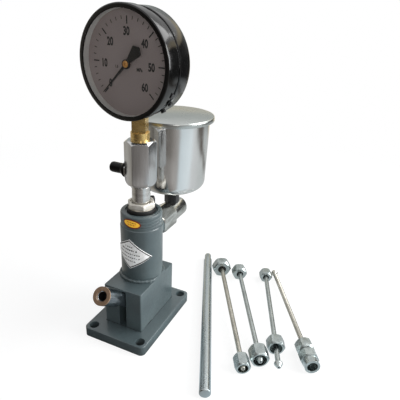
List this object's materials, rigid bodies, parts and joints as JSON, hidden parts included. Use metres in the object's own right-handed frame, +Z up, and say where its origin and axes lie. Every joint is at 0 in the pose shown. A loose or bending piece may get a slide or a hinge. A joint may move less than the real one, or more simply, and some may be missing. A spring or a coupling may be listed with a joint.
{
  "type": "injector pressure tester",
  "caption": "Hand lever pressure tester: square pump body with round column, hexagon head with a large dial gauge, oil cup behind, loose handle bar and union pipes beside it.",
  "frame": {"origin": "centre of the base plate's underside, in the middle of its bolt holes", "axes": "+Z up, -Y towards the gauge face and the lever, +X to the right seen from the front"},
  "size_m": [0.2841, 0.2582, 0.3673],
  "materials": {
    "body_paint": "satin slate grey paint",
    "lever_paint": "worn dark metallic paint",
    "zinc": "bright zinc plating",
    "ground_steel": "ground",
    "spring_steel": "oiled",
    "black_packing": "matte",
    "black_cap": "soft sheen",
    "black_steel": "blackened",
    "dark_steel": "dull",
    "copper": "soft copper",
    "brass": "machined",
    "gauge_enamel": "gloss black enamel",
    "glass": "clear",
    "dial": "matte, printed",
    "pointer_black": "matte black",
    "tinned": "bright drawn sheet",
    "plate_silver": "satin, printed border",
    "sticker_orange": "printed foil",
    "loose_zinc": "zinc plating"
  },
  "bodies": {
    "tester": {"base_plate": "body_paint", "pump_body": "body_paint", "pivot_pin": "ground_steel", "pivot_plug": "zinc", "plunger_spring": "spring_steel", "pump_barrel": "ground_steel", "delivery_seat": "ground_steel", "delivery_spring": "spring_steel", "column_washer": "black_packing", "clamp_nut": "zinc", "head_stem": "zinc", "pressure_head": "zinc", "outlet_union": "zinc", "gauge_washer": "copper", "gauge_stem": "brass", "gauge_case": "gauge_enamel", "bezel_ring": "gauge_enamel", "gauge_glass": "glass", "dial_plate": "dial", "bourdon_tube": "brass", "movement_frame": "brass", "case_screws": "dark_steel", "feed_union": "zinc", "feed_bar": "zinc", "feed_plug": "zinc", "cup_nut": "black_steel", "cup_strainer": "tinned", "oil_cup": "tinned", "name_plate": "plate_silver", "oval_sticker": "sticker_orange"},
    "lever": {"lever": "lever_paint"},
    "plunger": {"tappet": "ground_steel", "plunger": "ground_steel"},
    "delivery_valve": {"delivery_valve": "ground_steel"},
    "pointer": {"pointer": "pointer_black", "pinion_shaft": "brass"},
    "sector": {"sector_gear": "brass"},
    "link": {"link_rod": "brass"},
    "bleed_screw": {"bleed_screw": "black_steel"},
    "dust_cap": {"dust_cap": "black_cap"},
    "cup_lid": {"cup_lid": "tinned"},
    "handle_bar": {"handle_bar": "loose_zinc"},
    "pipe_1": {"pipe_1": "loose_zinc"},
    "pipe_1_far_nut": {"pipe_1_far_nut": "loose_zinc"},
    "pipe_1_near_nut": {"pipe_1_near_nut": "loose_zinc"},
    "pipe_2": {"pipe_2": "loose_zinc"},
    "pipe_2_far_nut": {"pipe_2_far_nut": "loose_zinc"},
    "pipe_2_near_nut": {"pipe_2_near_nut": "loose_zinc"},
    "pipe_3": {"pipe_3": "loose_zinc"},
    "pipe_3_far_nut": {"pipe_3_far_nut": "loose_zinc"},
    "pipe_3_near_nut": {"pipe_3_near_nut": "loose_zinc"},
    "pipe_4": {"pipe_4": "loose_zinc", "pipe_4_connector": "loose_zinc"},
    "pipe_4_nut": {"pipe_4_nut": "loose_zinc"}
  },
  "joints": [
    {"name": "lever_swing", "type": "hinge", "parent": "tester", "child": "lever", "pos_m": [0, -0.017, 0.036], "axis": [1, 0, 0], "range_deg": [0, 28], "stiffness_Nm_per_rad": 4, "springref_deg": -22.92},
    {"name": "plunger_lift", "type": "slide", "parent": "tester", "child": "plunger", "axis": [0, 0, 1], "range_m": [0, 0.0121], "deforming": ["plunger_spring"]},
    {"name": "delivery_valve_lift", "type": "slide", "parent": "tester", "child": "delivery_valve", "axis": [0, 0, 1], "range_m": [0, 0.001], "stiffness_N_per_m": 500, "springref_m": -0.002, "deforming": ["delivery_spring"]},
    {"name": "pointer_turn", "type": "hinge", "parent": "tester", "child": "pointer", "pos_m": [0, 0.0078, 0.313], "axis": [0.0906, 0.9959, 0], "range_deg": [0, 270]},
    {"name": "sector_turn", "type": "hinge", "parent": "tester", "child": "sector", "pos_m": [0, 0.0078, 0.286], "axis": [0.0906, 0.9959, 0], "range_deg": [-33.75, 0], "stiffness_Nm_per_rad": 0.128, "springref_deg": 4.3},
    {"name": "link_turn", "type": "hinge", "parent": "sector", "child": "link", "pos_m": [-0.00202, 0.00798, 0.2793], "axis": [0.0906, 0.9959, 0], "range_deg": [0, 33.75]},
    {"name": "bleed_screw_turn", "type": "hinge", "parent": "tester", "child": "bleed_screw", "pos_m": [0.00252, 0.02835, 0.15], "axis": [0, 0, 1], "range_deg": [0, 360]},
    {"name": "dust_cap_pull", "type": "slide", "parent": "tester", "child": "dust_cap", "axis": [-1, 0, 0], "range_m": [0, 0.03]},
    {"name": "lid_lift", "type": "slide", "parent": "tester", "child": "cup_lid", "axis": [0, 0, 1], "range_m": [0, 0.06]},
    {"name": "handle_lift", "type": "slide", "parent": "tester", "child": "handle_bar", "axis": [0, 0, 1], "range_m": [0, 0.06]},
    {"name": "pipe_1_lift", "type": "slide", "parent": "tester", "child": "pipe_1", "axis": [0, 0, 1], "range_m": [0, 0.06]},
    {"name": "pipe_2_lift", "type": "slide", "parent": "tester", "child": "pipe_2", "axis": [0, 0, 1], "range_m": [0, 0.06]},
    {"name": "pipe_3_lift", "type": "slide", "parent": "tester", "child": "pipe_3", "axis": [0, 0, 1], "range_m": [0, 0.06]},
    {"name": "pipe_4_lift", "type": "slide", "parent": "tester", "child": "pipe_4", "axis": [0, 0, 1], "range_m": [0, 0.06]},
    {"name": "pipe_1_far_nut_slide", "type": "slide", "parent": "pipe_1", "child": "pipe_1_far_nut", "axis": [0.4816, -0.8762, -0.0214], "range_m": [0, 0.055]},
    {"name": "pipe_2_far_nut_slide", "type": "slide", "parent": "pipe_2", "child": "pipe_2_far_nut", "axis": [0.4559, -0.8901, 0.0027], "range_m": [0, 0.06]},
    {"name": "pipe_3_far_nut_slide", "type": "slide", "parent": "pipe_3", "child": "pipe_3_far_nut", "axis": [0.3546, -0.935, 0.0101], "range_m": [0, 0.06]},
    {"name": "pipe_1_near_nut_slide", "type": "slide", "parent": "pipe_1", "child": "pipe_1_near_nut", "axis": [-0.4816, 0.8762, 0.0214], "range_m": [0, 0.07]},
    {"name": "pipe_2_near_nut_slide", "type": "slide", "parent": "pipe_2", "child": "pipe_2_near_nut", "axis": [-0.4559, 0.8901, -0.0027], "range_m": [0, 0.06]},
    {"name": "pipe_3_near_nut_slide", "type": "slide", "parent": "pipe_3", "child": "pipe_3_near_nut", "axis": [0.3546, -0.935, 0.0101], "range_m": [-0.06, 0.002]},
    {"name": "pipe_4_nut_slide", "type": "slide", "parent": "pipe_4", "child": "pipe_4_nut", "axis": [-0.4637, 0.8855, -0.0297], "range_m": [0, 0.06]}
  ],
  "couplings": [
    {"joint": "plunger_lift", "follows": "lever_swing", "m_per_rad": 0.024554},
    {"joint": "pointer_turn", "follows": "sector_turn", "ratio": -8},
    {"joint": "link_turn", "follows": "sector_turn", "ratio": -1}
  ]
}
